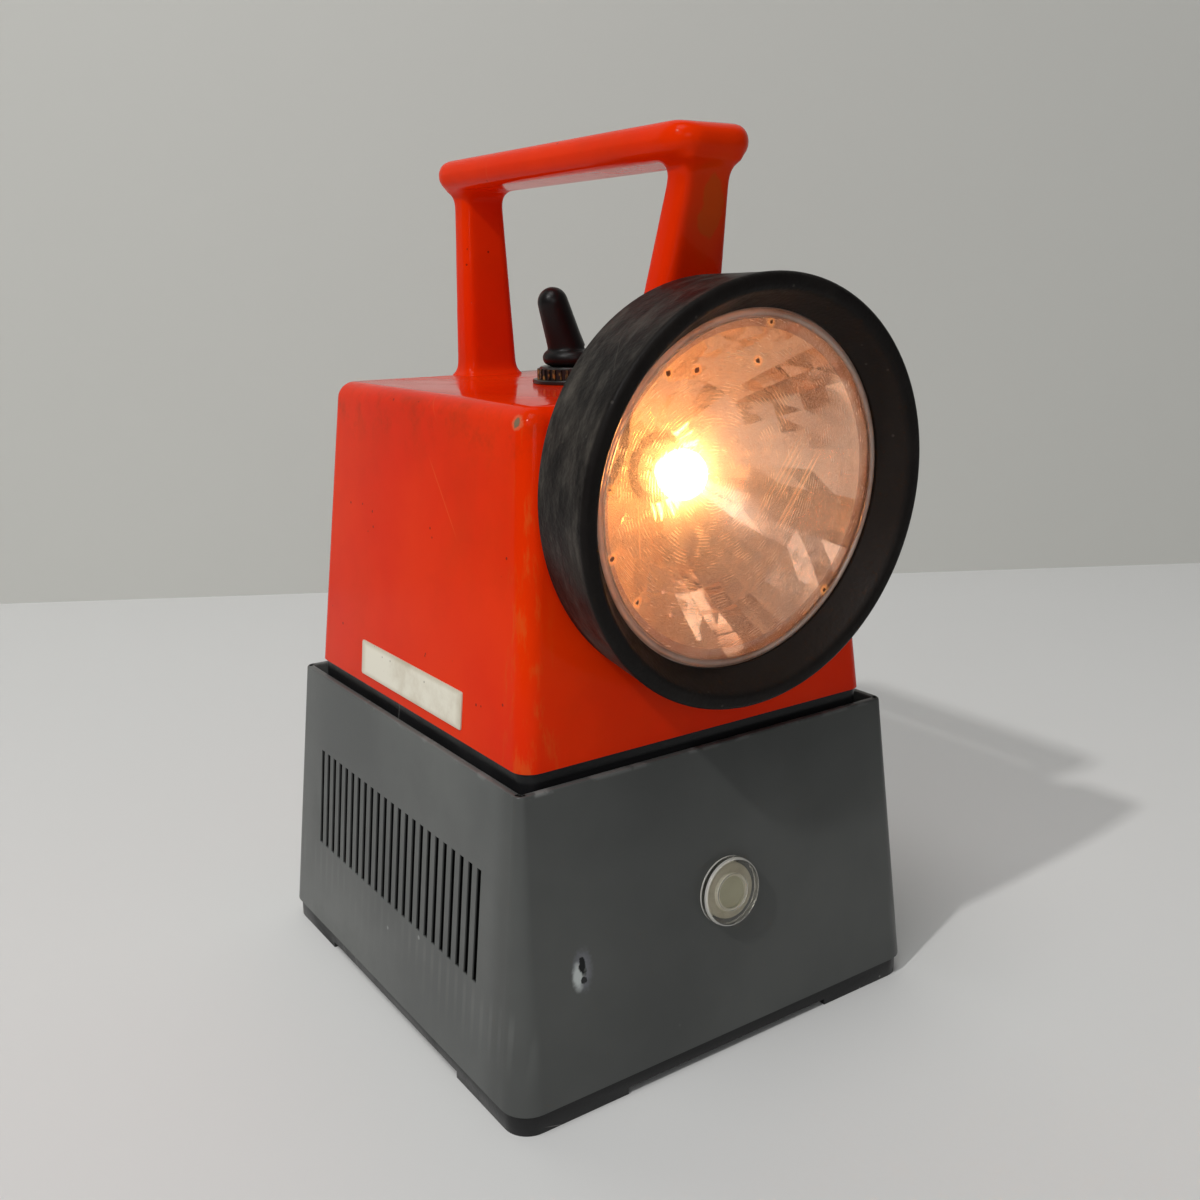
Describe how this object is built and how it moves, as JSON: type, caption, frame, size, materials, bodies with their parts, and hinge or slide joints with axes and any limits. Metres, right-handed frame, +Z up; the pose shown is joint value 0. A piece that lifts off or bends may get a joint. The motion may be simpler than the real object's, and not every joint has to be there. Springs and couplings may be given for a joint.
{
  "type": "portable emergency hand lamp",
  "caption": "Hand lamp with carrying handle, round head and booted toggle, lifting out of a vented mains charging base.",
  "frame": {"origin": "on the table under the middle of the whole footprint, from the charging base's rear edge to the bezel's front", "axes": "+Z up, -Y the way the lamp head faces, +X to the right seen from the front"},
  "size_m": [0.1516, 0.1776, 0.2641],
  "materials": {
    "grey_shell": "matt moulded",
    "black_plastic": "matt moulded",
    "orange_shell": "gloss",
    "black_rubber": "matt",
    "clear_plastic": "clear",
    "bulb_glass": "clear",
    "bright_metal": "bright",
    "steel": "plated",
    "laminations": "raw",
    "brass": "bright",
    "winding": "taped",
    "board": "satin",
    "component": "satin",
    "pale_plastic": "satin",
    "battery_case": "satin",
    "blackened_metal": "worn black"
  },
  "bodies": {
    "charger": {"charger_shell": "grey_shell", "base_plate": "black_plastic", "base_screws": "steel", "lamp_cradle": "black_plastic", "cradle_screws": "steel", "transformer_core": "laminations", "transformer_coil": "winding", "transformer_strap": "steel", "strap_screws": "steel", "charger_board": "board", "board_screws": "steel", "rectifier": "component", "smoothing_capacitor": "component", "fuse": "bulb_glass", "fuse_clips": "brass", "terminal_block": "pale_plastic", "cable_gland": "black_plastic", "gland_nut": "black_plastic", "indicator_cap": "clear_plastic", "indicator_holder": "black_plastic", "indicator_lamp": "bulb_glass", "contact_ends": "brass", "contact_spring_left": "steel", "contact_spring_right": "steel"},
    "lamp": {"lamp_housing": "orange_shell", "carry_handle": "orange_shell", "base_cover": "black_plastic", "lamp_feet": "black_rubber", "cover_screws": "steel", "contact_pads": "brass", "battery": "battery_case", "battery_tabs": "steel", "battery_pad": "black_rubber", "control_board": "board", "control_screws": "steel", "relay": "pale_plastic", "reflector": "bright_metal", "bulb": "bulb_glass", "bulb_cap": "brass", "bulb_holder": "component", "lens": "clear_plastic", "lens_gasket": "black_rubber", "rubber_bezel": "black_rubber", "switch_body": "component", "switch_bushing": "steel", "switch_lugs": "brass", "switch_lock_nut": "steel", "knurled_nut": "blackened_metal", "boot_collar": "black_rubber"},
    "toggle": {"switch_lever": "steel", "boot_finger": "black_rubber"},
    "plunger_left": {"contact_plunger_left": "brass"},
    "plunger_right": {"contact_plunger_right": "brass"}
  },
  "joints": [
    {"name": "lamp_lift", "type": "slide", "parent": "charger", "child": "lamp", "axis": [0, 0, 1], "range_m": [0, 0.06]},
    {"name": "toggle_throw", "type": "hinge", "parent": "lamp", "child": "toggle", "pos_m": [0, 0.00724, 0.19855], "axis": [0, 1, 0], "range_deg": [0, 37]},
    {"name": "contact_left", "type": "slide", "parent": "charger", "child": "plunger_left", "axis": [0, 0, 1], "range_m": [-0.0015, 0], "stiffness_N_per_m": 300, "springref_m": 0.003, "deforming": ["contact_spring_left"]},
    {"name": "contact_right", "type": "slide", "parent": "charger", "child": "plunger_right", "axis": [0, 0, 1], "range_m": [-0.0015, 0], "stiffness_N_per_m": 300, "springref_m": 0.003, "deforming": ["contact_spring_right"]}
  ]
}
